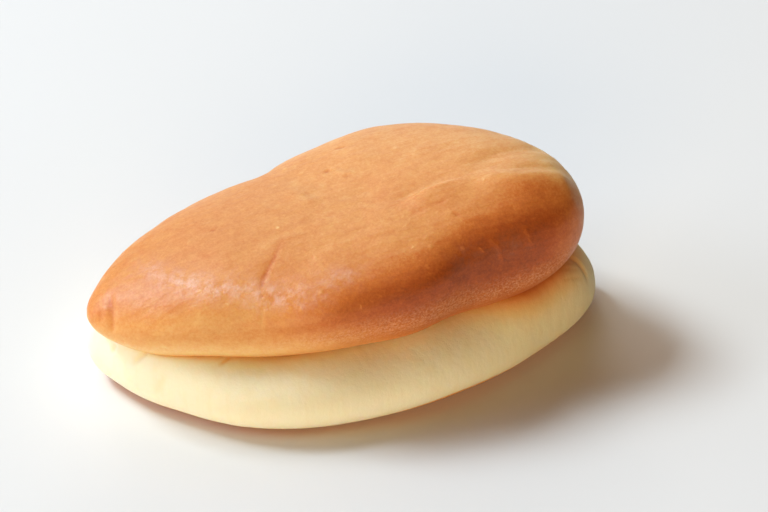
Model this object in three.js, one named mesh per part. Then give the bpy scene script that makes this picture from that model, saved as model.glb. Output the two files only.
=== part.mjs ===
import * as THREE from 'three';

// A sweet bun: one soft oval of dough folded over its filling and baked lying flat.
// Millimetres. +X points to the plump end, -X to the pointed tip, +Y to the folded
// side, -Y to the open seam, and +Z up. The base rests on z = 0.

// Heights above the base
const crownHeight = 42.4; // top of the crust, midway along the bun
const plumpRise = 11.1; // how far the crust climbs over 60 mm towards the plump end
const tipDrop = 6.2; // how far it falls over 60 mm towards the tip
const riseLength = 60;
const riseBlend = 35; // the slope changes over this far on both sides of the middle
const riseStart = 12; // the climb fades out below this height

// A list of four sizes is read as right end, folded side, left tip, seam side.
// The hand-made outline swells and draws in: gently all round, in so many waves to a
// turn, and in a few places, given by direction and spread in degrees.
const upperLeaf = {
  halfSizes: [57, 39.8, 58.7, 29.5],
  widestHeight: [30.1, 26.4, 28.6, 30.8],
  waves: [
    { count: 3, along: -1.9, across: 0.8 },
    { count: 4, along: 1, across: -1.6 },
    { count: 5, along: -0.3, across: -0.2 },
    { count: 6, along: 1.1, across: -0.8 },
  ],
  swells: [
    { at: 88, spread: 16, by: 2 },
    { at: 112, spread: 12, by: -5.5 }, // waist in the folded side
    { at: 140, spread: 18, by: 2.2 },
    { at: 158, spread: 18, by: -4.4 },
    { at: 178, spread: 6.5, by: 3 }, // tip
    { at: 215, spread: 16, by: 0.5 },
    { at: 338, spread: 15, by: 7.4 }, // plump end
  ],
  droops: [
    { at: 188, spread: 9.5, by: 3 }, // the edge hangs lower at the tip
    { at: 216, spread: 14, by: 2.3 },
    { at: 250, spread: 18, by: -1 }, // stands higher along the front
    { at: 285, spread: 18, by: -0.5 },
    { at: 322, spread: 16, by: 2.9 }, // and hangs again near the plump end
    { at: 345, spread: 14, by: 1.5 },
  ],
};
const lowerLeaf = {
  halfSizes: [68.6, 37.2, 64.1, 34.9],
  widestHeight: [5.1, 10, 10.5, 8.7],
  waves: [
    { count: 3, along: -2.1, across: 2.2 },
    { count: 4, along: -1.3, across: -4.4 },
    { count: 5, along: 2.9, across: -0.6 },
    { count: 6, along: 0.3, across: 0.5 },
  ],
  swells: [
    { at: 12, spread: 10, by: -5.2 }, // notch behind the plump end
    { at: 174, spread: 4.5, by: 1 }, // tip
    { at: 195, spread: 14, by: -2 },
    { at: 338, spread: 15, by: -3.4 },
    { at: 352, spread: 7, by: -0.3 },
  ],
};
const planSquareness = 2.1; // 2 is an ellipse
const domeSquareness = 2.7;

// The groove between the two leaves, where the fold lies open
const grooveDepth = [9, 0, 3, 8];
const grooveHeight = [22, 19, 22, 18];
const grooveFollows = 0.6; // share of the upper edge's droop that the groove takes

// The folded side: one round turn of dough instead of two leaves and a groove
const foldFrom = 40; // degrees
const foldTo = 150;
const foldBlend = 40; // degrees over which the groove closes
const foldHeight = 21; // where the turn stands out most
const foldSquareness = 2.3;
const foldBulge = 0.5;

const baseInset = 9; // the flat base stops this far inside the lower leaf

// Folds pressed into the crust, drawn from above: a path, how far the dip spreads on
// its left and on its right, its depth, and the shares of its length over which it
// comes in and dies away. A negative depth stands proud.
const crustFolds = [
  {
    name: 'valley from the waist to the middle',
    path: [[-10.2, 28.1], [-7.9, 21], [-3.7, 14.3], [2.3, 8.7], [7.2, 2.5], [11.9, -7]],
    spread: [7, 7],
    depth: 0.35,
    fade: [0.25, 0.3],
  },
  {
    name: 'hollow behind the end of the crest',
    path: [[11.5, -6], [15, -4.4], [19.6, -3.3], [24.9, -3.4], [29.8, -5]],
    spread: [2.8, 1.3],
    depth: 0.4,
    fade: [0.25, 0.4],
  },
  {
    name: 'end of the crest',
    path: [[10.9, -8.6], [13.4, -7], [18.1, -5.7], [20.9, -5.1], [26, -5.3], [33.1, -7.3]],
    spread: [1.3, 4.5],
    depth: -0.7,
    fade: [0.4, 0.5],
  },
  {
    name: 'crest across the plump end',
    path: [[26.2, -5.3], [33.1, -7.3], [42.1, -10.2], [50, -11.6], [56.8, -12.4]],
    spread: [3, 5],
    depth: -1.3,
    fade: [0.5, 0.12],
  },
  {
    name: 'second crest behind it',
    path: [[38.1, -4.2], [46.6, -5.3], [55, -6.8]],
    spread: [2, 2],
    depth: -0.4,
    fade: [0.4, 0.2],
  },
  {
    name: 'trough at the back of the plump end',
    path: [[30.5, -0.3], [37.4, 0.2], [41.6, 0.7], [49.7, 1.5], [54.5, 2.2]],
    spread: [3, 2.4],
    depth: 0.5,
    fade: [0.4, 0.1],
  },
  {
    name: 'short crease on the front of the crust',
    path: [[-13.6, 0.7], [-17.3, -4.6], [-22.3, -11.1], [-26.3, -16.5]],
    spread: [0.7, 2.2],
    depth: 0.05,
    fade: [0.6, 0.08],
  },
];
const foldReach = [24, 34]; // heights between which these folds come in

// Triangles: steps around the bun, and rings down each stretch of its section
const stepsAround = 100;
const ringsDown = [
  { until: 0.40, rings: 22 }, // crown to the upper leaf's edge
  { until: 0.50, rings: 7 }, // under the edge into the groove
  { until: 0.62, rings: 7 }, // out over the lower leaf
  { until: 0.74, rings: 8 }, // round to the base
  { until: 1.00, rings: 4 }, // flat base
];
const [crownEnd, lipEnd, bandEnd, wallEnd] = ringsDown.map((stretch) => stretch.until);
const foldMiddle = 0.53; // share of the section that ends at the fold's widest height

const quarterTurn = Math.PI / 2;
const share = (value, from, to) => THREE.MathUtils.clamp((value - from) / (to - from), 0, 1);
const ease = (value) => THREE.MathUtils.smoothstep(value, 0, 1);
const degreesApart = (a, b) => THREE.MathUtils.euclideanModulo(a - b + 180, 360) - 180;

// A size that changes round the bun, given in its four directions
function around(direction, [right, fold, left, front]) {
  const along = Math.cos(direction);
  const across = Math.sin(direction);
  const lengthways = along > 0 ? right : left;
  const sideways = across > 0 ? fold : front;
  return lengthways * along ** 2 + sideways * across ** 2;
}

// Sum of local changes, each a bell about a direction
function local(direction, places) {
  return places.reduce((sum, { at, spread, by }) => {
    const apart = degreesApart(THREE.MathUtils.radToDeg(direction), at);
    return sum + by * Math.exp(-((apart / spread) ** 2));
  }, 0);
}

// Swells and droops come in towards the leaf's edge and spare its crown
const edgeShare = (turn) => Math.sin(turn) ** 4;

function leafRadius(direction, leaf, swellShare = 1) {
  const [right, fold, left, front] = leaf.halfSizes;
  const along = Math.abs(Math.cos(direction)) / (Math.cos(direction) > 0 ? right : left);
  const across = Math.abs(Math.sin(direction)) / (Math.sin(direction) > 0 ? fold : front);
  const power = planSquareness;
  let radius = (along ** power + across ** power) ** (-1 / power);
  for (const wave of leaf.waves) {
    const turn = wave.count * direction;
    radius += wave.along * Math.cos(turn) + wave.across * Math.sin(turn);
  }
  return radius + swellShare * local(direction, leaf.swells);
}

// The section where the seam is open: dome, lip, groove, lower leaf, base
function openSection(direction, step) {
  const upper = leafRadius(direction, upperLeaf);
  const lower = leafRadius(direction, lowerLeaf);
  const groove = Math.min(upper, lower) - around(direction, grooveDepth);
  const base = lower - baseInset;
  const droop = local(direction, upperLeaf.droops);
  const upperHeight = around(direction, upperLeaf.widestHeight) - droop;
  const lowerHeight = around(direction, lowerLeaf.widestHeight);
  const seamHeight = around(direction, grooveHeight) - grooveFollows * droop;
  if (step < crownEnd) {
    const turn = share(step, 0, crownEnd) * quarterTurn;
    const power = 2 / domeSquareness;
    const edge = edgeShare(turn);
    const edgeHeight = upperHeight + (1 - edge) * droop;
    return [
      leafRadius(direction, upperLeaf, edge) * Math.sin(turn) ** power,
      edgeHeight + (crownHeight - edgeHeight) * Math.cos(turn) ** power,
    ];
  }
  if (step < lipEnd) {
    const turn = share(step, crownEnd, lipEnd) * quarterTurn;
    return [
      groove + (upper - groove) * Math.cos(turn),
      upperHeight - (upperHeight - seamHeight) * Math.sin(turn),
    ];
  }
  if (step < bandEnd) {
    const turn = share(step, lipEnd, bandEnd) * quarterTurn;
    return [
      groove + (lower - groove) * Math.sin(turn),
      seamHeight - (seamHeight - lowerHeight) * (1 - Math.cos(turn)),
    ];
  }
  if (step < wallEnd) {
    const turn = share(step, bandEnd, wallEnd) * quarterTurn;
    return [base + (lower - base) * Math.cos(turn), lowerHeight * (1 - Math.sin(turn))];
  }
  return [base * (1 - share(step, wallEnd, 1)), 0];
}

// The section on the folded side: dome, one round edge, base
function foldedSection(direction, step) {
  const upper = leafRadius(direction, upperLeaf);
  const lower = leafRadius(direction, lowerLeaf);
  const widest = upper + foldBulge;
  const base = lower - baseInset;
  if (step < foldMiddle) {
    const turn = share(step, 0, foldMiddle) * quarterTurn;
    const power = 2 / domeSquareness;
    const dome = leafRadius(direction, upperLeaf, edgeShare(turn)) + foldBulge;
    return [
      dome * Math.sin(turn) ** power,
      foldHeight + (crownHeight - foldHeight) * Math.cos(turn) ** power,
    ];
  }
  if (step < wallEnd) {
    const turn = share(step, foldMiddle, wallEnd) * quarterTurn;
    const power = 2 / foldSquareness;
    return [
      base + (widest - base) * Math.cos(turn) ** power,
      foldHeight * (1 - Math.sin(turn) ** power),
    ];
  }
  return [base * (1 - share(step, wallEnd, 1)), 0];
}

// How open the seam is in a direction: 1 open, 0 folded
function openness(direction) {
  const middle = (foldFrom + foldTo) / 2;
  const halfWidth = (foldTo - foldFrom) / 2;
  const apart = Math.abs(degreesApart(THREE.MathUtils.radToDeg(direction), middle));
  return ease((apart - halfWidth + foldBlend / 2) / foldBlend);
}

for (const fold of crustFolds) {
  const knots = fold.path.map(([x, y]) => new THREE.Vector3(x, y, 0));
  fold.curve = new THREE.CatmullRomCurve3(knots).getSpacedPoints(60);
}

// How far a fold lowers the crust at a place seen from above
function foldDip(fold, place) {
  const last = fold.curve.length - 1;
  let nearest = 0;
  fold.curve.forEach((point, index) => {
    if (point.distanceTo(place) < fold.curve[nearest].distanceTo(place)) nearest = index;
  });
  const ahead = fold.curve[Math.min(nearest + 1, last)];
  const behind = fold.curve[Math.max(nearest - 1, 0)];
  const heading = ahead.clone().sub(behind);
  const offset = place.clone().sub(fold.curve[nearest]);
  const onLeft = heading.x * offset.y - heading.y * offset.x > 0;
  const spread = onLeft ? fold.spread[0] : fold.spread[1];
  const [fadeIn, fadeOut] = fold.fade;
  const fade = ease(nearest / last / fadeIn) * ease((1 - nearest / last) / fadeOut);
  return fold.depth * fade * Math.exp(-((offset.length() / spread) ** 2));
}

// A point of the skin: step 0 is the crown, 1 the middle of the base
function skinPoint(direction, step) {
  const open = openness(direction);
  const [openRadius, openHeight] = openSection(direction, step);
  const [foldedRadius, foldedHeight] = foldedSection(direction, step);
  const radius = THREE.MathUtils.lerp(foldedRadius, openRadius, open);
  const point = new THREE.Vector3(radius * Math.cos(direction), radius * Math.sin(direction), 0);
  let height = THREE.MathUtils.lerp(foldedHeight, openHeight, open);
  const slope = THREE.MathUtils.lerp(tipDrop, plumpRise, ease(share(point.x, -riseBlend, riseBlend)));
  height += slope * point.x / riseLength * ease(share(height, riseStart, crownHeight));
  if (step < crownEnd) {
    const dip = crustFolds.reduce((sum, fold) => sum + foldDip(fold, point), 0);
    height -= dip * ease(share(height, ...foldReach));
  }
  return point.setZ(height);
}

// Closed skin: a point at the crown, rings down to the base, a point at its middle
function bunGeometry() {
  const steps = [];
  let from = 0;
  for (const { until, rings } of ringsDown) {
    for (let ring = 1; ring <= rings; ring += 1) {
      steps.push(from + (until - from) * ring / rings);
    }
    from = until;
  }
  steps.pop();
  const points = [skinPoint(0, 0)];
  for (const step of steps) {
    for (let index = 0; index < stepsAround; index += 1) {
      points.push(skinPoint(2 * Math.PI * index / stepsAround, step));
    }
  }
  points.push(skinPoint(0, 1));

  const corner = (ring, index) => 1 + ring * stepsAround + index % stepsAround;
  const triangles = [];
  const lastRing = steps.length - 1;
  for (let index = 0; index < stepsAround; index += 1) {
    triangles.push(0, corner(0, index), corner(0, index + 1));
    for (let ring = 0; ring < lastRing; ring += 1) {
      const [a, b] = [corner(ring, index), corner(ring, index + 1)];
      const [c, d] = [corner(ring + 1, index), corner(ring + 1, index + 1)];
      triangles.push(a, c, d, a, d, b);
    }
    triangles.push(points.length - 1, corner(lastRing, index + 1), corner(lastRing, index));
  }
  const geometry = new THREE.BufferGeometry().setFromPoints(points);
  geometry.setIndex(triangles);
  geometry.computeBoundingBox();
  const middle = geometry.boundingBox.getCenter(new THREE.Vector3());
  geometry.translate(-middle.x, -middle.y, 0);
  geometry.computeVertexNormals();
  return geometry;
}

const bakedDough = new THREE.MeshStandardMaterial({
  color: 0xcf8a4c,
  roughness: 0.6,
  metalness: 0,
});

const bun = new THREE.Mesh(bunGeometry(), bakedDough);
bun.name = 'bun';

const part = new THREE.Group();
part.add(bun);

export default part;
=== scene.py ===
import math

import bpy
import numpy as np
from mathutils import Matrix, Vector


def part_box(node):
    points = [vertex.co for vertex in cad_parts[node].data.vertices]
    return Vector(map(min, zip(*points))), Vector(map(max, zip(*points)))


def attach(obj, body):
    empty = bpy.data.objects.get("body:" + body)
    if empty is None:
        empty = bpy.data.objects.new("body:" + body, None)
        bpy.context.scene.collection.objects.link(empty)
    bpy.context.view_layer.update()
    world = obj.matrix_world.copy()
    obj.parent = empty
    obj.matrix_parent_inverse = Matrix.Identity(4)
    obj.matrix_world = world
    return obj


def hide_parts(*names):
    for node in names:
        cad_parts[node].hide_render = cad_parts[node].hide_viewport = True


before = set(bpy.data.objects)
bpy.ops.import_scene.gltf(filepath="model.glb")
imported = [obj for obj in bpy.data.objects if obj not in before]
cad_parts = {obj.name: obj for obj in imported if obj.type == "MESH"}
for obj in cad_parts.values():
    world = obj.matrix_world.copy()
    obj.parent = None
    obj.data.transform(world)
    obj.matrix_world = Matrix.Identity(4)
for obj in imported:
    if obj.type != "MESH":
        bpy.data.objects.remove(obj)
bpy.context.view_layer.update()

print("frame: the packed bun is loaded")


# Camera, where the photo was taken from
cameraSettings = {
    "azimuth": -19.2,  # degrees; 0 looks along +Y
    "elevation": 38.0,
    "distance": 0.600,
    "pivot": (-0.00105, -0.00307, 0.018),
    "slideRight": 0.0101,  # the aim stands this far off the pivot
    "slideUp": 0.0072,
    "lens": 112.2,
}


def makeCamera(settings):
    turn = math.radians(settings["azimuth"])
    rise = math.radians(settings["elevation"])
    pivot = Vector(settings["pivot"])
    away = Vector((math.sin(turn) * math.cos(rise), -math.cos(turn) * math.cos(rise), math.sin(rise)))
    right = Vector((math.cos(turn), math.sin(turn), 0.0))
    up = away.cross(right)
    data = bpy.data.cameras.new("camera")
    data.lens = settings["lens"]
    data.sensor_width = 36.0
    data.clip_start = 0.01
    data.clip_end = 20.0
    camera = bpy.data.objects.new("camera", data)
    camera.location = pivot + away * settings["distance"]
    aim = pivot + right * settings["slideRight"] + up * settings["slideUp"]
    camera.rotation_euler = (aim - camera.location).to_track_quat("-Z", "Y").to_euler()
    bpy.context.scene.collection.objects.link(camera)
    bpy.context.scene.camera = camera
    return camera


makeCamera(cameraSettings)
print("camera placed")


# A socket that adds and multiplies like a number, for writing shader and tree maths
class Wire:
    def __init__(self, graph, socket):
        self.graph = graph
        self.socket = socket

    def maths(self, operation, first, second):
        return self.graph.node("ShaderNodeMath", {"operation": operation}, {0: first, 1: second})

    def __add__(self, other):
        return self.maths("ADD", self, other)

    def __radd__(self, other):
        return self.maths("ADD", other, self)

    def __sub__(self, other):
        return self.maths("SUBTRACT", self, other)

    def __rsub__(self, other):
        return self.maths("SUBTRACT", other, self)

    def __mul__(self, other):
        return self.maths("MULTIPLY", self, other)

    def __rmul__(self, other):
        return self.maths("MULTIPLY", other, self)

    def __truediv__(self, other):
        return self.maths("DIVIDE", self, other)

    def __rtruediv__(self, other):
        return self.maths("DIVIDE", other, self)

    def __lt__(self, other):
        return self.maths("LESS_THAN", self, other)


# Adds nodes to a tree: settings first, then the values or links of the sockets
class Graph:
    def __init__(self, tree):
        self.tree = tree

    def node(self, kind, settings=None, sockets=None, output=0):
        node = self.tree.nodes.new(kind)
        for name, value in (settings or {}).items():
            if name == "stops":
                self.setStops(node.color_ramp, value)
            else:
                setattr(node, name, value)
        for key, value in (sockets or {}).items():
            if isinstance(value, Wire):
                self.tree.links.new(value.socket, node.inputs[key])
            else:
                node.inputs[key].default_value = value
        return Wire(self, node.outputs[output]) if len(node.outputs) else node

    # A color ramp's stops, each a place and a color
    def setStops(self, ramp, stops):
        while len(ramp.elements) > 1:
            ramp.elements.remove(ramp.elements[-1])
        ramp.elements[0].position = stops[0][0]
        ramp.elements[0].color = (*stops[0][1], 1.0)
        for place, color in stops[1:]:
            ramp.elements.new(place).color = (*color, 1.0)

    def attribute(self, name):
        return self.node("ShaderNodeAttribute", {"attribute_name": name}, output="Fac")

    def noise(self, where, scale, detail=2.0, roughness=0.5, seed=0.0):
        sockets = {"Vector": where, "W": seed, "Scale": scale, "Detail": detail, "Roughness": roughness}
        return self.node("ShaderNodeTexNoise", {"noise_dimensions": "4D"}, sockets)

    def times(self, first, second):
        return self.node("ShaderNodeVectorMath", {"operation": "MULTIPLY"}, {0: first, 1: second})

    # 0 at low, 1 at high, with soft ends
    def between(self, value, low, high):
        settings = {"interpolation_type": "SMOOTHSTEP", "clamp": True}
        sockets = {"Value": value, "From Min": low, "From Max": high, "To Min": 0.0, "To Max": 1.0}
        return self.node("ShaderNodeMapRange", settings, sockets)

    def mixColor(self, factor, low, high):
        settings = {"data_type": "RGBA", "blend_type": "MIX", "clamp_factor": True}
        return self.node("ShaderNodeMix", settings, {0: factor, 6: low, 7: high}, output=2)


# The bun's skin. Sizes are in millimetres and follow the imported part: four sizes are
# read as right end, folded side, left tip, seam side.
bunSettings = {
    "crownHeight": 42.4,
    "plumpRise": 11.1,
    "tipDrop": 6.2,
    "riseLength": 60.0,
    "riseBlend": 35.0,  # the slope changes over this far on both sides of the middle
    "riseStart": 12.0,
    "planSquareness": 2.1,
    "domeSquareness": 2.7,
    "upper": {
        "halfSizes": (57.0, 39.8, 58.7, 29.5),
        "widestHeight": (30.1, 26.4, 28.6, 30.8),
        "waves": ((3, -1.9, 0.8), (4, 1.0, -1.6), (5, -0.3, -0.2), (6, 1.1, -0.8)),
        "swells": (
            (88, 16, 2.0), (112, 12, -5.5), (140, 18, 2.2), (158, 18, -4.4), (178, 6.5, 3.0),
            (215, 16, 0.5), (338, 15, 7.4),
        ),
        "droops": (
            (188, 9.5, 3.0), (216, 14, 2.3), (250, 18, -1.0),
            (285, 18, -0.5), (322, 16, 2.9), (345, 14, 1.5),
        ),
    },
    "lower": {
        "halfSizes": (68.6, 37.2, 64.1, 34.9),
        "widestHeight": (5.1, 10.0, 10.5, 8.7),
        "waves": ((3, -2.1, 2.2), (4, -1.3, -4.4), (5, 2.9, -0.6), (6, 0.3, 0.5)),
        "swells": ((12, 10, -5.2), (174, 4.5, 1.0), (195, 14, -2.0), (338, 15, -3.4), (352, 7, -0.3)),
    },
    "grooveDepth": (9.0, 0.0, 3.0, 8.0),
    "grooveHeight": (22.0, 19.0, 22.0, 18.0),
    "grooveFollows": 0.6,  # share of the upper edge's droop that the groove takes
    "foldMiddle": 95.0,  # degrees
    "foldHalfWidth": 55.0,
    "foldBlend": 40.0,
    "foldHeight": 21.0,
    "foldSquareness": 2.3,
    "foldBulge": 0.5,
    "baseInset": 9.0,
    "crownEnd": 0.40,  # shares of the section, crown to the middle of the base
    "lipEnd": 0.50,
    "bandEnd": 0.62,
    "wallEnd": 0.74,
    "foldEnd": 0.53,
    "capEnd": 0.23,
    "capColumns": (180, 130),  # mesh faces along and across the crown
    "capShape": (64.0, 38.0),
    "capCrowding": 1.35,  # above 1 the faces are smaller in the crown's middle
    "rings": 104,
    "ringDirections": (-90.0, -40.0, 0.0, 180.0),  # the rings are evenly spaced on these
    "hiddenFrom": 0.42,  # inside the lip from this step, where rings lie further apart
    "hiddenPace": 0.5,
    "baseRings": 8,
}


def ease(value):
    held = np.clip(value, 0.0, 1.0)
    return held * held * (3.0 - 2.0 * held)


def share(value, low, high):
    return np.clip((value - low) / (high - low), 0.0, 1.0)


def apart(first, second):
    return (first - second + 180.0) % 360.0 - 180.0


def bell(value, spread):
    return np.exp(-((value / spread) ** 2))


def hump(value, middle, spread):
    return bell(value - middle, spread)


# A size that changes round the bun, given in its four directions
def around(direction, sizes):
    along = np.cos(np.radians(direction))
    across = np.sin(np.radians(direction))
    lengthways = np.where(along > 0, sizes[0], sizes[2])
    sideways = np.where(across > 0, sizes[1], sizes[3])
    return lengthways * along**2 + sideways * across**2


# Sum of local changes, each a bell about a direction
def local(direction, places):
    return sum(by * bell(apart(direction, place), spread) for place, spread, by in places)


# Swells and droops come in towards the leaf's edge and spare its crown
def edgeShare(turn):
    return np.sin(turn) ** 4


def leafRadius(direction, leaf, swellShare=1.0):
    turn = np.radians(direction)
    right, fold, left, front = leaf["halfSizes"]
    along = np.abs(np.cos(turn)) / np.where(np.cos(turn) > 0, right, left)
    across = np.abs(np.sin(turn)) / np.where(np.sin(turn) > 0, fold, front)
    power = bunSettings["planSquareness"]
    radius = (along**power + across**power) ** (-1.0 / power)
    for count, cosine, sine in leaf["waves"]:
        radius = radius + cosine * np.cos(count * turn) + sine * np.sin(count * turn)
    return radius + swellShare * local(direction, leaf["swells"])


# How open the seam is in a direction: 1 open, 0 folded
def openness(direction):
    s = bunSettings
    away = np.abs(apart(direction, s["foldMiddle"]))
    return ease((away - s["foldHalfWidth"] + s["foldBlend"] / 2) / s["foldBlend"])


# Radius and height of the section: dome, lip, groove, lower leaf, wall, base
def section(direction, step):
    s = bunSettings
    upper = leafRadius(direction, s["upper"])
    lower = leafRadius(direction, s["lower"])
    groove = np.minimum(upper, lower) - around(direction, s["grooveDepth"])
    base = lower - s["baseInset"]
    droop = local(direction, s["upper"]["droops"])
    upperHeight = around(direction, s["upper"]["widestHeight"]) - droop
    lowerHeight = around(direction, s["lower"]["widestHeight"])
    seamHeight = around(direction, s["grooveHeight"]) - s["grooveFollows"] * droop
    quarter = math.pi / 2
    dome = share(step, 0.0, s["crownEnd"]) * quarter
    lip = share(step, s["crownEnd"], s["lipEnd"]) * quarter
    band = share(step, s["lipEnd"], s["bandEnd"]) * quarter
    wall = share(step, s["bandEnd"], s["wallEnd"]) * quarter
    bottom = share(step, s["wallEnd"], 1.0)
    power = 2.0 / s["domeSquareness"]
    crown = s["crownHeight"]
    edgeHeight = upperHeight + (1 - edgeShare(dome)) * droop
    stretch = [step < s["crownEnd"], step < s["lipEnd"], step < s["bandEnd"], step < s["wallEnd"]]
    openRadius = np.select(stretch, [
        leafRadius(direction, s["upper"], edgeShare(dome)) * np.sin(dome) ** power,
        groove + (upper - groove) * np.cos(lip),
        groove + (lower - groove) * np.sin(band),
        base + (lower - base) * np.cos(wall),
    ], base * (1 - bottom))
    openHeight = np.select(stretch, [
        edgeHeight + (crown - edgeHeight) * np.cos(dome) ** power,
        upperHeight - (upperHeight - seamHeight) * np.sin(lip),
        seamHeight - (seamHeight - lowerHeight) * (1 - np.cos(band)),
        lowerHeight * (1 - np.sin(wall)),
    ], 0.0)

    widest = upper + s["foldBulge"]
    foldDome = share(step, 0.0, s["foldEnd"]) * quarter
    foldWall = share(step, s["foldEnd"], s["wallEnd"]) * quarter
    foldPower = 2.0 / s["foldSquareness"]
    foldedDome = leafRadius(direction, s["upper"], edgeShare(foldDome)) + s["foldBulge"]
    stretch = [step < s["foldEnd"], step < s["wallEnd"]]
    foldRadius = np.select(stretch, [
        foldedDome * np.sin(foldDome) ** power,
        base + (widest - base) * np.cos(foldWall) ** foldPower,
    ], base * (1 - bottom))
    foldHeight = np.select(stretch, [
        s["foldHeight"] + (crown - s["foldHeight"]) * np.cos(foldDome) ** power,
        s["foldHeight"] * (1 - np.sin(foldWall) ** foldPower),
    ], 0.0)
    opened = openness(direction)
    radius = foldRadius + (openRadius - foldRadius) * opened
    height = foldHeight + (openHeight - foldHeight) * opened
    return radius, height


# Folds pressed into the crust, drawn from above: a path, the spread of the dip on its
# left and right, its depth, and the shares of its length over which it comes in and
# dies away. A negative depth stands proud.
crustFolds = [
    {  # valley from the waist to the middle
        "path": ((-10.2, 28.1), (-7.9, 21), (-3.7, 14.3), (2.3, 8.7), (7.2, 2.5), (11.9, -7)),
        "spread": (7.0, 7.0),
        "depth": 0.35,
        "fade": (0.25, 0.3),
    },
    {  # hollow behind the end of the crest
        "path": ((11.5, -6), (15, -4.4), (19.6, -3.3), (24.9, -3.4), (29.8, -5)),
        "spread": (2.8, 1.3),
        "depth": 0.4,
        "fade": (0.25, 0.4),
    },
    {  # end of the crest
        "path": ((10.9, -8.6), (13.4, -7), (18.1, -5.7), (20.9, -5.1), (26, -5.3), (33.1, -7.3)),
        "spread": (1.3, 4.5),
        "depth": -0.7,
        "fade": (0.4, 0.5),
    },
    {  # crest across the plump end
        "path": ((26.2, -5.3), (33.1, -7.3), (42.1, -10.2), (50, -11.6), (56.8, -12.4)),
        "spread": (3.0, 5.0),
        "depth": -1.3,
        "fade": (0.5, 0.12),
    },
    {  # second crest behind it
        "path": ((38.1, -4.2), (46.6, -5.3), (55, -6.8)),
        "spread": (2.0, 2.0),
        "depth": -0.4,
        "fade": (0.4, 0.2),
    },
    {  # trough at the back of the plump end
        "path": ((30.5, -0.3), (37.4, 0.2), (41.6, 0.7), (49.7, 1.5), (54.5, 2.2)),
        "spread": (3.0, 2.4),
        "depth": 0.5,
        "fade": (0.4, 0.1),
    },
    {  # short crease on the front of the crust
        "path": ((-13.6, 0.7), (-17.3, -4.6), (-22.3, -11.1), (-26.3, -16.5)),
        "spread": (0.7, 2.2),
        "depth": 0.05,
        "fade": (0.6, 0.08),
    },
]
foldReach = (24.0, 34.0)  # heights between which the folds come in


# Evenly spaced points along a smooth curve through the given ones
def smoothPath(points, count):
    knots = np.array(points, float)
    knots = np.vstack([2 * knots[0] - knots[1], knots, 2 * knots[-1] - knots[-2]])
    pieces = []
    for index in range(1, len(knots) - 2):
        before, start, end, after = knots[index - 1:index + 3]
        part = np.linspace(0.0, 1.0, 40, endpoint=False)[:, None]
        pieces.append(0.5 * (
            2 * start
            + (end - before) * part
            + (2 * before - 5 * start + 4 * end - after) * part**2
            + (3 * start - before - 3 * end + after) * part**3
        ))
    line = np.vstack(pieces + [knots[-2:-1]])
    lengths = np.concatenate([[0.0], np.cumsum(np.linalg.norm(np.diff(line, axis=0), axis=1))])
    places = np.linspace(0.0, lengths[-1], count)
    columns = [np.interp(places, lengths, line[:, axis]) for axis in range(line.shape[1])]
    return np.stack(columns, axis=1)


# How far each point lies to the left of a path, and its share of the path's length
def alongPath(x, y, path, reach):
    line = smoothPath(path, 240)
    low = line.min(axis=0) - reach
    high = line.max(axis=0) + reach
    near = np.flatnonzero((x > low[0]) & (x < high[0]) & (y > low[1]) & (y < high[1]))
    aside = np.full(x.shape, 1e3)
    portion = np.zeros(x.shape)
    if len(near) == 0:
        return aside, portion
    places = np.stack([x[near], y[near]], axis=1)
    nearest = np.array([np.argmin(((line - place) ** 2).sum(axis=1)) for place in places])
    heading = np.gradient(line, axis=0)[nearest]
    offset = places - line[nearest]
    side = np.sign(heading[:, 0] * offset[:, 1] - heading[:, 1] * offset[:, 0])
    aside[near] = np.linalg.norm(offset, axis=1) * np.where(side < 0, -1.0, 1.0)
    portion[near] = nearest / (len(line) - 1)
    return aside, portion


def foldDip(x, y, fold):
    aside, portion = alongPath(x, y, fold["path"], 3.0 * max(fold["spread"]))
    spread = np.where(aside > 0, fold["spread"][0], fold["spread"][1])
    fade = ease(portion / fold["fade"][0]) * ease((1 - portion) / fold["fade"][1])
    return fold["depth"] * fade * bell(aside, spread)


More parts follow.
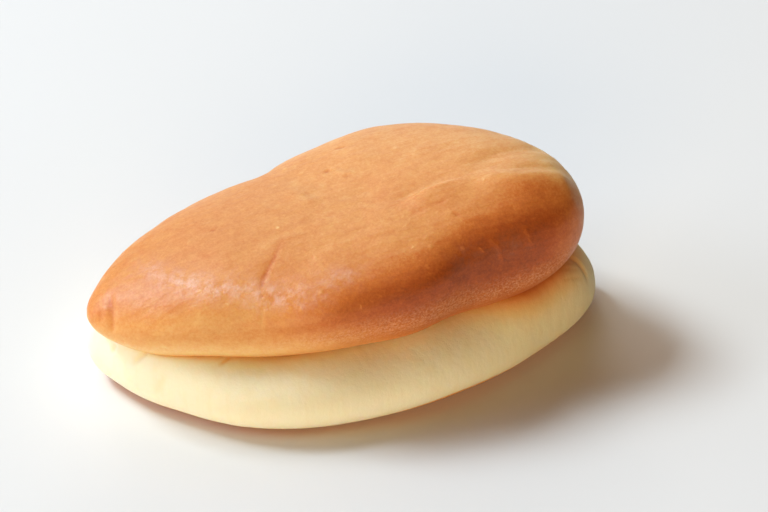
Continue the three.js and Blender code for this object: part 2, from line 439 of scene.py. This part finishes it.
# Directions and steps of every vertex: a square grid over the crown, then rings
def skinGrid(s):
    columns, rows = s["capColumns"]
    u, w = np.meshgrid(np.linspace(-1, 1, columns + 1), np.linspace(-1, 1, rows + 1), indexing="ij")
    reach = np.maximum(np.abs(u), np.abs(w))
    safe = np.where(reach == 0, 1.0, reach)
    acrossTurn = np.where(u > 0, w / safe, 4.0 - w / safe)
    alongTurn = np.where(w > 0, 2.0 - u / safe, 6.0 + u / safe)
    turn = np.where(np.abs(u) >= np.abs(w), acrossTurn, alongTurn) * math.pi / 4
    direction = np.degrees(np.arctan2(s["capShape"][1] * np.sin(turn), s["capShape"][0] * np.cos(turn)))
    step = s["capEnd"] * reach ** s["capCrowding"]

    edge = [(index, 0) for index in range(columns)]
    edge += [(columns, index) for index in range(rows)]
    edge += [(index, rows) for index in range(columns, 0, -1)]
    edge += [(0, index) for index in range(rows, 0, -1)]
    rim = np.array([i * (rows + 1) + j for i, j in edge])

    fine = np.linspace(s["capEnd"], s["wallEnd"], 4000)
    lengths = np.zeros(len(fine))
    for ringDirection in s["ringDirections"]:
        radius, height = section(np.full(fine.shape, ringDirection), fine)
        lengths[1:] += np.cumsum(np.hypot(np.diff(radius), np.diff(height)))
    hidden = (fine > s["hiddenFrom"]) & (fine < s["lipEnd"])
    pace = np.gradient(lengths) * np.where(hidden, s["hiddenPace"], 1.0)
    travelled = np.cumsum(pace)
    wanted = np.linspace(travelled[0], travelled[-1], s["rings"] + 1)[1:]
    ringSteps = np.interp(wanted, travelled, fine)
    baseSteps = s["wallEnd"] + (1 - s["wallEnd"]) * np.arange(1, s["baseRings"]) / s["baseRings"]
    ringSteps = np.concatenate([ringSteps, baseSteps])
    ringTurns = np.tile(direction.ravel()[rim], len(ringSteps))
    directions = np.concatenate([direction.ravel(), ringTurns, [0.0]])
    steps = np.concatenate([step.ravel(), np.repeat(ringSteps, len(rim)), [1.0]])

    corner = np.arange((columns + 1) * (rows + 1)).reshape(columns + 1, rows + 1)
    squares = [corner[:-1, :-1], corner[1:, :-1], corner[1:, 1:], corner[:-1, 1:]]
    faces = [np.stack(squares, -1).reshape(-1, 4)]
    inner = rim
    first = corner.size
    for ring in range(len(ringSteps)):
        outer = first + ring * len(rim) + np.arange(len(rim))
        faces.append(np.stack([inner, outer, np.roll(outer, -1), np.roll(inner, -1)], -1))
        inner = outer
    last = len(directions) - 1
    closing = [(int(a), last, int(b)) for a, b in zip(inner, np.roll(inner, -1))]
    quads = np.concatenate(faces).tolist()
    return directions, steps, quads + closing


def skinPoints(directions, steps):
    s = bunSettings
    radius, height = section(directions, steps)
    x = radius * np.cos(np.radians(directions))
    y = radius * np.sin(np.radians(directions))
    plumpShare = ease(share(x, -s["riseBlend"], s["riseBlend"]))
    slope = s["tipDrop"] + (s["plumpRise"] - s["tipDrop"]) * plumpShare
    rise = slope * x / s["riseLength"]
    height = height + rise * ease(share(height, s["riseStart"], s["crownHeight"]))
    onCrust = ease(share(height, *foldReach)) * (steps < s["crownEnd"])
    for fold in crustFolds:
        height = height - foldDip(x, y, fold) * onCrust
    return x, y, height


# Fine creases: a path of directions and steps, the spread on its left and right, its
# depth, the shares over which it comes and goes, and how much darker it is painted inside
# as painted shade; a negative value paints a pale mark instead
fineCreases = {
    "besideTip": (((177.8, 0.274), (181.2, 0.293), (184.2, 0.329), (185.2, 0.374), (185.0, 0.395)),
                  (0.5, 1.3), 0.35, (0.3, 0.2), 0.09),
    "tipEar": (((180.5, 0.33), (181.8, 0.35), (183.0, 0.383)), (0.9, 0.9), 0.25, (0.3, 0.3), 0.05),
    "paleNotch": (((182.3, 0.552), (182.0, 0.566), (181.8, 0.588)), (0.5, 0.6), 0.35, (0.2, 0.4), 0.08),
    "slantGroove": (((189.8, 0.52), (189.2, 0.54), (188.5, 0.563), (187.2, 0.592)),
                    (0.7, 1.0), 0.6, (0.05, 0.7), 0.1),
    "paleStreak": (((196.2, 0.574), (195.0, 0.61), (193.5, 0.647)), (1.0, 1.0), 0.12, (0.3, 0.5), 0.05),
    "darkNotch": (((207.5, 0.505), (207.4, 0.52), (207.3, 0.537)), (0.35, 0.35), 0.4, (0.1, 0.4), 0.12),
    "frontCrease": (((179.5, 0.034), (194.8, 0.059), (202.0, 0.088), (206.5, 0.124),
                     (211.0, 0.188), (213.0, 0.212)),
                    (0.5, 0.7), 0.10, (0.7, 0.08), 0.12),
    "creasePit": (((214.0, 0.226), (214.8, 0.236)), (0.5, 0.5), 0.25, (0.3, 0.3), 0.08),
    "belowCrease": (((216.5, 0.255), (218.0, 0.307), (219.2, 0.376)), (0.5, 0.5), 0.08, (0.3, 0.5), -0.04),
    "scratchA": (((258.5, 0.321), (258.2, 0.353)), (0.3, 0.3), -0.06, (0.2, 0.2), -0.16),
    "scratchB": (((294.2, 0.243), (293.5, 0.27)), (0.3, 0.3), -0.06, (0.3, 0.3), -0.12),
    "scratchC": (((317.5, 0.289), (317.5, 0.312)), (0.3, 0.3), -0.06, (0.2, 0.2), -0.16),
    "glazeLineA": (((321.5, 0.265), (322.0, 0.306), (321.2, 0.347), (321.2, 0.378)),
                   (0.35, 0.6), -0.1, (0.3, 0.2), -0.08),
    "glazeLineB": (((330.2, 0.275), (329.2, 0.308), (328.5, 0.334), (328.2, 0.358)),
                   (0.35, 0.5), -0.1, (0.3, 0.2), -0.09),
    "crestWrinkleA": (((331.8, 0.088), (332.5, 0.099), (334.8, 0.115)), (0.6, 0.5), 0.1, (0.3, 0.3), 0.06),
    "crestWrinkleB": (((320.8, 0.082), (324.5, 0.091), (329.2, 0.1)), (0.6, 0.5), 0.09, (0.3, 0.3), 0.05),
    "crestDimple": (((326.8, 0.146), (326.2, 0.167)), (0.5, 0.5), 0.12, (0.3, 0.3), 0.11),
    "topDash": (((75.5, 0.191), (68.8, 0.173)), (0.5, 0.5), 0.22, (0.2, 0.2), 0.13),
    "topPit": (((84.5, 0.112), (83.2, 0.095)), (0.7, 0.7), 0.3, (0.3, 0.3), 0.07),
    "topArc": (((79.8, 0.091), (68.2, 0.069), (53.5, 0.055)), (0.8, 0.8), -0.2, (0.2, 0.5), -0.04),
    "topLine": (((69.8, 0.063), (60.0, 0.055)), (0.5, 0.5), 0.15, (0.3, 0.4), 0.06),
    "leftRidge": (((122.8, 0.115), (127.2, 0.067), (139.2, 0.02)), (1.4, 2.8), -0.22, (0.4, 0.5), -0.02),
    "leftPit": (((166.8, 0.106), (167.2, 0.11)), (0.5, 0.5), 0.14, (0.1, 0.1), 0.14),
    "seedA": (((179.8, 0.042), (180.0, 0.044)), (0.4, 0.4), -0.22, (0.1, 0.1), -0.34),
    "seedB": (((313.2, 0.141), (313.0, 0.144)), (0.35, 0.35), -0.15, (0.1, 0.1), -0.2),
    "seedC": (((296.0, 0.168), (296.0, 0.172)), (0.35, 0.35), -0.15, (0.1, 0.1), -0.2),
    "rimCrease": (((347.2, 0.53), (348.5, 0.543), (349.2, 0.557), (349.0, 0.576), (347.5, 0.593)),
                  (0.5, 1.1), 0.5, (0.3, 0.3), 0.1),
    "rimWrinkleA": (((343.0, 0.533), (345.5, 0.549), (347.8, 0.564)), (0.4, 0.4), 0.16, (0.3, 0.3), 0.04),
    "rimWrinkleB": (((340.8, 0.546), (344.5, 0.561), (347.0, 0.574)), (0.4, 0.4), 0.16, (0.3, 0.3), 0.04),
    "rimWrinkleC": (((345.6, 0.534), (346.8, 0.544), (348.0, 0.553)), (0.4, 0.4), 0.16, (0.3, 0.3), 0.04),
}


def skinAt(place):
    return np.array(skinPoints(np.array([place[0]]), np.array([place[1]]))).ravel()


# Signed distance of each vertex to the left of a path on the skin, and its share of it
def alongSkin(points, normals, path, reach):
    knots = np.array([skinAt(place) for place in smoothPath(path, 30)])
    line = smoothPath(knots, 160)
    low = line.min(axis=0) - reach
    high = line.max(axis=0) + reach
    near = np.flatnonzero(((points > low) & (points < high)).all(axis=1))
    aside = np.full(len(points), 1e3)
    portion = np.zeros(len(points))
    away = points[near][:, None, :] - line[None, :, :]
    nearest = (away**2).sum(axis=2).argmin(axis=1)
    offset = points[near] - line[nearest]
    left = np.cross(normals[near], np.gradient(line, axis=0)[nearest])
    aside[near] = np.linalg.norm(offset, axis=1) * np.where((offset * left).sum(axis=1) < 0, -1.0, 1.0)
    portion[near] = nearest / (len(line) - 1)
    return aside, portion


# Presses the fine creases in and returns the painted shade of each vertex, negative for pale marks
def pressCreases(points, normals):
    sunk = np.zeros(len(points))
    creaseShadeAndMarks = np.zeros(len(points))
    for path, spread, depth, fade, shadeAndMark in fineCreases.values():
        aside, portion = alongSkin(points, normals, path, 3.0 * max(spread))
        strength = ease(portion / fade[0]) * ease((1 - portion) / fade[1])
        strength = strength * bell(aside, np.where(aside > 0, spread[0], spread[1]))
        sunk += depth * strength
        creaseShadeAndMarks += shadeAndMark * strength
    return points - normals * sunk[:, None], creaseShadeAndMarks


def makeMesh(name, points, faces):
    mesh = bpy.data.meshes.new(name)
    mesh.from_pydata(points.tolist(), [], faces)
    mesh.update()
    mesh.validate()
    mesh.shade_smooth()
    piece = bpy.data.objects.new(name, mesh)
    bpy.context.scene.collection.objects.link(piece)
    return piece


def storeValues(mesh, name, values):
    layer = mesh.attributes.new(name, "FLOAT", "POINT")
    layer.data.foreach_set("value", np.ascontiguousarray(values, dtype=np.float32))


# Browning amounts, and where each lies. A reach is in millimetres along the bun, from the
# tip (minus) to the plump end (plus); a turn is how far the skin faces the seam side; steps
# are shares of the section; a place and a step are each a middle and a spread.
# Some of these amounts are painted light and shade rather than browning, as marked.
bakeAndPaintedLightSettings = {
    "top": 0.58,
    "front": 0.31,  # darker towards the seam side, which faces away from the key light: partly deeper browning, partly painted shade
    "frontTurn": (0.05, 0.8),
    "frontReach": (-50.0, 15.0),
    "plumpEnd": -0.05,
    "plumpLength": 55.0,
    "tipSidePaleAndLit": -0.17,  # paler on the seam side near the tip, where the left light falls: partly paler crust, partly painted light and sheen
    "tipTurn": (0.2, 0.8),
    "tipReach": (-5.0, 34.0),  # from the middle towards the tip
    "paintedShadeBelt": 0.06,  # painted shade: darkest above the crust's edge, near the plump end
    "beltStep": (0.350, 0.052),
    "beltPlace": (32.0, 16.0),
    "endPale": -0.16,  # paler again at the very end, which lies in shade: partly a paler rim, partly painted light
    "endReach": (42.0, 56.0),
    "endSteps": (0.18, 0.28),
    "edge": 0.30,  # the crust's lower edge
    "edgePlump": 0.50,
    "edgeReach": (-38.0, 14.0),
    "edgeFrom": 0.386,  # first step of the edge
    "edgeShift": 0.012,  # later than that at the plump end
    "edgeFull": 0.435,
    "lip": 0.52,  # painted shade: darker on the lip's underside, inside the groove
    "lipPlump": 0.42,
    "lipSteps": (0.438, 0.475),
    "crumb": 0.05,
    "crumbPlump": 0.05,
    # painted light: paler in the middle of the pale leaf, where it is brightly lit
    "crumbMiddleLit": -0.05,
    "crumbPlace": (5.0, 28.0),
    "groove": 0.30,  # painted shade and brown bounce light on the pale leaf along the groove, partly real browning
    "grooveGap": 0.85,  # share of it that is missing in the middle
    "gapPlace": (5.0, 20.0),
    "groovePlump": 0.60,  # more of it at the plump end
    "grooveReach": (20.0, 46.0),
    "grooveSpread": 0.026,
    "foldCrumb": 0.11,  # lower half of the folded side
    "foldSteps": (0.46, 0.68),
    "baseLine": 0.62,  # brown line round the base
    "baseFrom": 0.680,
    "baseRise": 0.031,  # it starts higher up towards the plump end
    "baseReach": (-15.0, 20.0),
    "baseFade": 0.015,
    "crustFade": (0.42, 0.47),  # steps where crust gives way to crumb, at the seam
    "foldFade": (0.54, 0.66),  # and on the folded side
    "rimStep": (0.424, 0.020),  # pale flecks
    "crumbFrom": (0.47, 0.52),
    "crumbTo": (0.70, 0.735),
}


# How brown each place is, with painted light and shade added in: 0 pale crumb, 1 the darkest crust
def bakeAndPaintedLightOf(points, normals, directions, steps):
    b = bakeAndPaintedLightSettings
    lipEnd = bunSettings["lipEnd"]
    along = points[:, 0]
    seamward = -normals[:, 1]
    opened = openness(directions)
    plump = np.clip(along / b["plumpLength"], -1, 1)

    # Darker on the seam side, paler near the tip and at the very end are partly painted light and shade;
    # the belt and the lip's underside are painted shade
    facing = ease(share(seamward, *b["frontTurn"])) * ease(share(along, *b["frontReach"]))
    tipSidePaleAndLit = ease(share(seamward, *b["tipTurn"])) * ease(share(-along, *b["tipReach"]))
    paintedShadeBelt = hump(steps, *b["beltStep"]) * opened * hump(along, *b["beltPlace"])
    farEnd = ease(share(along, *b["endReach"])) * ease(share(steps, *b["endSteps"]))
    crust = b["top"] + b["front"] * facing + b["plumpEnd"] * plump
    crust = crust + b["tipSidePaleAndLit"] * tipSidePaleAndLit + b["paintedShadeBelt"] * paintedShadeBelt + b["endPale"] * farEnd

    edge = b["edge"] + b["edgePlump"] * ease(share(along, *b["edgeReach"]))
    edgeFrom = b["edgeFrom"] + b["edgeShift"] * plump
    openCrust = crust + (edge - crust) * ease(share(steps, edgeFrom, b["edgeFull"]))
    lip = b["lip"] + b["lipPlump"] * np.maximum(plump, 0)
    openCrust = openCrust + (lip - openCrust) * ease(share(steps, *b["lipSteps"]))

    crumb = b["crumb"] + b["crumbPlump"] * plump + b["crumbMiddleLit"] * hump(along, *b["crumbPlace"])
    deep = ease(share(along, *b["grooveReach"]))
    # painted shade and bounce light along the groove, partly browning
    grooveShadeAndBrowning = b["groove"] * (1 - b["grooveGap"] * hump(along, *b["gapPlace"])) + b["groovePlump"] * deep
    groove = crumb + grooveShadeAndBrowning * bell(np.maximum(steps - lipEnd, 0), b["grooveSpread"] * (1 + deep))

    openBakeAndLight = np.where(steps < lipEnd, openCrust, groove)
    foldBakeAndLight = crust + (b["foldCrumb"] - crust) * ease(share(steps, *b["foldSteps"]))
    bake = foldBakeAndLight + (openBakeAndLight - foldBakeAndLight) * opened
    baseFrom = b["baseFrom"] - b["baseRise"] * ease(share(along, *b["baseReach"]))
    baseLine = ease(share(steps, baseFrom, baseFrom + b["baseFade"]))
    return bake + (b["baseLine"] - bake) * baseLine


# Where the skin is crust and where it is crumb, each 0 to 1
def coatOf(directions, steps):
    b = bakeAndPaintedLightSettings
    crust = 1 - ease(share(steps, *b["crustFade"])) * openness(directions)
    crust = crust * (1 - ease(share(steps, *b["foldFade"])))
    crumb = ease(share(steps, *b["crumbFrom"])) * (1 - ease(share(steps, *b["crumbTo"])))
    return crust, crumb * (1 - crust)


# Wrinkled glossy patches on the crust, where a pale pinkish sheen is painted in as a highlight: direction,
# step, reach along and down in mm, strength
glossAndPaintedSheenPatches = (
    (181.8, 0.188, 7.0, 3.0, 0.8), (189.8, 0.182, 7.0, 3.4, 1.0), (197.8, 0.193, 7.0, 3.6, 1.0),
    (205.8, 0.204, 6.0, 3.6, 0.9), (215.0, 0.236, 6.0, 4.0, 1.0), (224.0, 0.242, 7.0, 4.0, 0.9),
    (233.0, 0.245, 6.0, 3.0, 0.6), (246.8, 0.188, 6.0, 3.0, 0.6), (311.8, 0.292, 5.0, 3.0, 0.12),
    (324.5, 0.33, 5.0, 3.0, 0.12),
)


def glossAndPaintedSheenOf(points):
    gloss = np.zeros(len(points))
    for direction, step, along, down, strength in glossAndPaintedSheenPatches:
        center = skinAt((direction, step))
        side = skinAt((direction + 1.0, step)) - center
        side = side / np.linalg.norm(side)
        away = points - center
        reach = away @ side
        rest = np.sqrt(np.maximum((away**2).sum(axis=1) - reach**2, 0.0))
        gloss = np.maximum(gloss, strength * bell(reach, along) * bell(rest, down))
    return gloss


directions, steps, faces = skinGrid(bunSettings)
x, y, z = skinPoints(directions, steps)
bunPiece = makeMesh("bakedBun", np.stack([x, y, z], axis=1), faces)
bunMesh = bunPiece.data
normals = np.zeros(3 * len(x), np.float32)
bunMesh.vertices.foreach_get("normal", normals)
normals = normals.reshape(-1, 3)
points, creaseShadeAndMarks = pressCreases(np.stack([x, y, z], axis=1), normals)
# the creases' painted shade and pale marks go into the browning values
bakeAndPaintedLightAmount = bakeAndPaintedLightOf(points, normals, directions, steps) + creaseShadeAndMarks
crustAmount, crumbAmount = coatOf(directions, steps)
middle = np.array([(x.min() + x.max()) / 2, (y.min() + y.max()) / 2, 0.0])
bunMesh.vertices.foreach_set("co", ((points - middle) / 1000).astype(np.float32).ravel())
storeValues(bunMesh, "bake", bakeAndPaintedLightAmount)
storeValues(bunMesh, "crust", crustAmount)
storeValues(bunMesh, "gloss", glossAndPaintedSheenOf(points))
storeValues(bunMesh, "rim", hump(steps, *bakeAndPaintedLightSettings["rimStep"]) * openness(directions))
storeValues(bunMesh, "crumb", crumbAmount)
bunMesh.update()
nodeLow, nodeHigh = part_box("bun")
print("bun shaped:", len(points), "points, packed box", tuple(nodeHigh - nodeLow))


# Crust and crumb: one browning scale from pale dough to dark crust, which also carries painted light and
# shade, with a painted sheen in the glossy patches
doughSettings = {
    "browning": (
        (0.00, (0.93, 0.88, 0.66)),
        (0.10, (0.89, 0.78, 0.47)),
        (0.25, (0.85, 0.60, 0.26)),
        (0.40, (0.80, 0.44, 0.155)),
        (0.55, (0.72, 0.30, 0.080)),
        (0.70, (0.60, 0.170, 0.030)),
        (0.85, (0.42, 0.088, 0.013)),
        (1.00, (0.20, 0.045, 0.010)),
    ),
    "clouds": 0.12,  # how much each pattern changes the browning
    "mottle": 0.18,
    "streaks": 0.14,
    "strands": 0.10,
    "specks": 0.26,
    "blisterPaler": 0.10,
    "cloudScale": 40.0,
    "mottleScale": 420.0,
    "streakScale": 500.0,
    "streakLength": (0.18, 1.0, 1.0),  # streaks run along the bun
    "strandScale": 420.0,
    "strandLength": (1.0, 1.0, 0.10),  # strands of the pale leaf stand upright
    "speckScale": 1500.0,
    "paintedSheen": 0.60,  # painted highlight: pale wrinkled sheen mixed into the glossy patches
    "paintedSheenScale": 420.0,
    "paintedSheenRange": (0.34, 0.72),
    "paintedSheenColor": (0.90, 0.62, 0.50, 1.0),
    "dust": 0.45,  # pale flecks along the crust's lower edge
    "dustScale": 1700.0,
    "dustRange": (0.38, 0.70),
    "dustColor": (0.86, 0.55, 0.33, 1.0),
    "crustRoughness": 0.46,
    "crumbRoughness": 0.75,
    "roughMottle": 0.25,
    "roughWrinkles": -0.12,
    "grainHeight": 0.00008,
    "grainScale": 900.0,
    "poreScale": 2600.0,
    "poreHeight": 0.4,  # heights against the grain's
    "streakHeight": 1.5,
    "strandHeight": 1.2,
}


def bakedDough(settings):
    material = bpy.data.materials.new("bakedDough")
    material.use_nodes = True
    material.node_tree.nodes.clear()
    graph = Graph(material.node_tree)
    where = graph.node("ShaderNodeTexCoord", output="Object")
    crust = graph.attribute("crust")
    crumb = 1 - crust

    clouds = graph.noise(where, settings["cloudScale"], 3.0, 0.55)
    mottle = graph.noise(where, settings["mottleScale"], 4.0, 0.7)
    stretched = graph.times(where, settings["streakLength"])
    streaks = graph.noise(stretched, settings["streakScale"], 3.0, 0.6)
    upright = graph.times(where, settings["strandLength"])
    strands = graph.noise(upright, settings["strandScale"], 3.0, 0.6)
    specks = graph.noise(where, settings["speckScale"], 3.0, 0.7)
    bakeAndLightLevel = graph.attribute("bake") + (clouds - 0.5) * settings["clouds"] * (crust * 0.8 + 0.3)
    bakeAndLightLevel = bakeAndLightLevel + (mottle - 0.5) * settings["mottle"] * (crust * 0.9 + 0.2)
    bakeAndLightLevel = bakeAndLightLevel + (streaks - 0.5) * settings["streaks"] * crust
    bakeAndLightLevel = bakeAndLightLevel + (specks - 0.5) * settings["specks"] * crust
    bakeAndLightLevel = bakeAndLightLevel + (strands - 0.5) * settings["strands"] * crumb
    bakeAndLightLevel = bakeAndLightLevel - graph.attribute("blister") * settings["blisterPaler"]
    color = graph.node(
        "ShaderNodeValToRGB", {"stops": settings["browning"]}, {"Fac": bakeAndLightLevel}, output="Color"
    )

    # Painted highlight: along the wrinkles of the glossy patches the colour is mixed towards a pale
    # pinkish sheen
    paintedSheen = graph.noise(where, settings["paintedSheenScale"], 4.0, 0.65)
    wrinkles = graph.between(paintedSheen, *settings["paintedSheenRange"]) * graph.attribute("gloss")
    color = graph.mixColor(wrinkles * settings["paintedSheen"], color, settings["paintedSheenColor"])
    flecks = graph.noise(where, settings["dustScale"], 3.0, 0.7)
    dust = graph.between(flecks, *settings["dustRange"]) * graph.attribute("rim")
    color = graph.mixColor(dust * settings["dust"], color, settings["dustColor"])

    smoother = settings["crustRoughness"] - settings["crumbRoughness"]
    roughness = settings["crumbRoughness"] + crust * smoother
    roughness = roughness + (mottle - 0.5) * settings["roughMottle"]
    roughness = roughness + wrinkles * settings["roughWrinkles"]
    grain = graph.noise(where, settings["grainScale"], 3.0, 0.6)
    pores = graph.noise(where, settings["poreScale"], 2.0, 0.6)
    height = grain + wrinkles + pores * settings["poreHeight"]
    height = height + streaks * crust * settings["streakHeight"]
    height = height + strands * crumb * settings["strandHeight"]
    bump = graph.node(
        "ShaderNodeBump", None,
        {"Strength": 1.0, "Distance": settings["grainHeight"], "Height": height},
    )
    shader = graph.node("ShaderNodeBsdfPrincipled", None, {
        "Base Color": color, "Roughness": roughness, "Normal": bump,
        "Subsurface Weight": 0.30, "Subsurface Radius": (1.0, 0.5, 0.22), "Subsurface Scale": 0.004,
        "Specular IOR Level": 0.35,
    })
    graph.node("ShaderNodeOutputMaterial", None, {"Surface": shader})
    return material


dough = bakedDough(doughSettings)
print("dough material made")


# Fine relief of the baked skin, as a geometry tree with its sizes as inputs
reliefSettings = {
    "swellHeight": 0.00045,
    "swellSize": 0.009,
    "streakHeight": 0.00030,
    "streakSize": 0.0026,
    "blisterHeight": 0.00014,
    "blisterSize": 0.0026,
    "blisterShare": 0.16,
    "strandHeight": 0.00012,
    "strandSize": 0.0022,
    "seed": 7.0,
}


def reliefTree(settings):
    tree = bpy.data.node_groups.new("bakedRelief", "GeometryNodeTree")
    tree.interface.new_socket("Geometry", in_out="INPUT", socket_type="NodeSocketGeometry")
    for name in settings:
        tree.interface.new_socket(name, in_out="INPUT", socket_type="NodeSocketFloat")
    tree.interface.new_socket("finish", in_out="INPUT", socket_type="NodeSocketMaterial")
    tree.interface.new_socket("Geometry", in_out="OUTPUT", socket_type="NodeSocketGeometry")
    graph = Graph(tree)
    start = graph.node("NodeGroupInput", output="Geometry")
    given = {name: Wire(graph, start.socket.node.outputs[name]) for name in (*settings, "finish")}
    where = graph.node("GeometryNodeInputPosition")
    normal = graph.node("GeometryNodeInputNormal")
    crust = graph.node("GeometryNodeInputNamedAttribute", {"data_type": "FLOAT"}, {"Name": "crust"})
    crumb = graph.node("GeometryNodeInputNamedAttribute", {"data_type": "FLOAT"}, {"Name": "crumb"})
    seed = given["seed"]
    swell = graph.noise(where, 1 / given["swellSize"], 2.0, 0.45, seed)
    stretched = graph.times(where, (0.22, 1.0, 1.0))  # longer along the bun
    streak = graph.noise(stretched, 1 / given["streakSize"], 2.0, 0.5, seed + 3)
    upright = graph.times(where, (1.0, 1.0, 0.14))  # longer up and down
    strand = graph.noise(upright, 1 / given["strandSize"], 2.0, 0.5, seed + 5)
    cells = graph.node(
        "ShaderNodeTexVoronoi", {"voronoi_dimensions": "4D"},
        {"Vector": where, "W": seed, "Scale": 1 / given["blisterSize"]},
    )
    cellValue = Wire(graph, cells.socket.node.outputs["Color"])
    chosen = graph.node("ShaderNodeSeparateXYZ", None, {0: cellValue})
    blister = graph.between(cells, 0.34, 0.05) * (chosen < given["blisterShare"])
    swelling = (swell - 0.5) * given["swellHeight"]
    crustLift = swelling + (streak - 0.5) * given["streakHeight"] + blister * given["blisterHeight"]
    crumbLift = (strand - 0.5) * given["strandHeight"] + swelling * 0.7
    lift = crust * crustLift + crumb * crumbLift
    offset = graph.node("ShaderNodeVectorMath", {"operation": "SCALE"}, {0: normal, "Scale": lift})
    shaped = graph.node("GeometryNodeSetPosition", None, {"Geometry": start, "Offset": offset})
    marked = graph.node(
        "GeometryNodeStoreNamedAttribute", {"data_type": "FLOAT", "domain": "POINT"},
        {"Geometry": shaped, "Name": "blister", "Value": blister * crust},
    )
    real = graph.node("GeometryNodeRealizeInstances", None, {"Geometry": marked})
    covering = {"Geometry": real, "Material": given["finish"]}
    coated = graph.node("GeometryNodeSetMaterial", None, covering)
    graph.node("NodeGroupOutput", None, {"Geometry": coated})
    return tree


# Runs the tree on a piece once and keeps the plain mesh it makes
def applyTree(piece, tree, values):
    modifier = piece.modifiers.new(tree.name, "NODES")
    modifier.node_group = tree
    for item in tree.interface.items_tree:
        if item.in_out == "INPUT" and item.name in values:
            modifier[item.identifier] = values[item.name]
    evaluated = piece.evaluated_get(bpy.context.evaluated_depsgraph_get())
    plain = bpy.data.meshes.new_from_object(evaluated)
    piece.modifiers.remove(modifier)
    piece.data = plain
    plain.name = piece.name


applyTree(bunPiece, reliefTree(reliefSettings), {**reliefSettings, "finish": dough})
print("relief raised:", len(bunPiece.data.polygons), "faces")


# Pale studio floor, soft key light from the back left, warm dim room
stageSettings = {
    "floorSize": 8.0,
    "floorColor": (0.80, 0.770, 0.740),
    "floorShade": (0.82, 0.795, 0.765),  # slow change across the floor
    "shadeScale": 6.0,
    "roomColor": (1.0, 0.55, 0.30),
    "roomStrength": 0.05,
    "lights": {
        "key": {"azimuth": 137, "elevation": 49, "distance": 3.0, "size": 0.95, "watts": 82.0,
                "color": (0.85, 1.0, 1.10)},
        "back": {"azimuth": 98, "elevation": 48, "distance": 3.0, "size": 1.6, "watts": 16.0,
                 "color": (1.08, 1.0, 0.96)},
        "window": {"azimuth": 160, "elevation": 22, "distance": 3.0, "size": 1.6, "watts": 30.0,
                   "color": (0.80, 1.0, 1.32)},
        "rear": {"azimuth": 74, "elevation": 20, "distance": 3.0, "size": 1.8, "watts": 17.0,
                 "color": (1.08, 1.0, 0.98)},
        "front": {"azimuth": 238, "elevation": 10, "distance": 3.0, "size": 1.8, "watts": 55.0,
                  "color": (1.2, 0.9, 0.50)},
        "low": {"azimuth": 284, "elevation": 5, "distance": 3.0, "size": 1.7, "watts": 5.0,
                "color": (1.1, 0.82, 0.50)},
    },
}


def makeFloor(settings):
    half = settings["floorSize"] / 2
    corners = [(-half, -half, 0), (half, -half, 0), (half, half, 0), (-half, half, 0)]
    mesh = bpy.data.meshes.new("floor")
    mesh.from_pydata(corners, [], [(0, 1, 2, 3)])
    floor = bpy.data.objects.new("floor", mesh)
    bpy.context.scene.collection.objects.link(floor)
    material = bpy.data.materials.new("paleFloor")
    material.use_nodes = True
    material.node_tree.nodes.clear()
    graph = Graph(material.node_tree)
    where = graph.node("ShaderNodeTexCoord", output="Object")
    shade = graph.noise(where, settings["shadeScale"])
    color = graph.mixColor(shade, (*settings["floorColor"], 1.0), (*settings["floorShade"], 1.0))
    shader = graph.node("ShaderNodeBsdfPrincipled", None, {"Base Color": color, "Roughness": 0.8})
    graph.node("ShaderNodeOutputMaterial", None, {"Surface": shader})
    mesh.materials.append(material)


def makeRoom(settings):
    world = bpy.data.worlds.new("room")
    world.use_nodes = True
    world.node_tree.nodes.clear()
    graph = Graph(world.node_tree)
    background = graph.node("ShaderNodeBackground", None, {
        "Color": (*settings["roomColor"], 1.0), "Strength": settings["roomStrength"],
    })
    graph.node("ShaderNodeOutputWorld", None, {"Surface": background})
    bpy.context.scene.world = world


# A square lamp that looks at the middle of the table
def makeLamp(name, light):
    data = bpy.data.lights.new(name, "AREA")
    data.shape = "SQUARE"
    data.size = light["size"]
    data.energy = light["watts"]
    data.color = light["color"]
    lamp = bpy.data.objects.new(name, data)
    turn = math.radians(light["azimuth"])
    rise = math.radians(light["elevation"])
    lamp.location = light["distance"] * Vector((
        math.cos(turn) * math.cos(rise), math.sin(turn) * math.cos(rise), math.sin(rise)
    ))
    lamp.rotation_euler = (-lamp.location).to_track_quat("-Z", "Y").to_euler()
    bpy.context.scene.collection.objects.link(lamp)


makeFloor(stageSettings)
makeRoom(stageSettings)
for name, light in stageSettings["lights"].items():
    makeLamp(name, light)
bpy.context.scene.view_settings.view_transform = "Standard"
print("floor and lights made")

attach(bunPiece, "root")
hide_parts("bun")
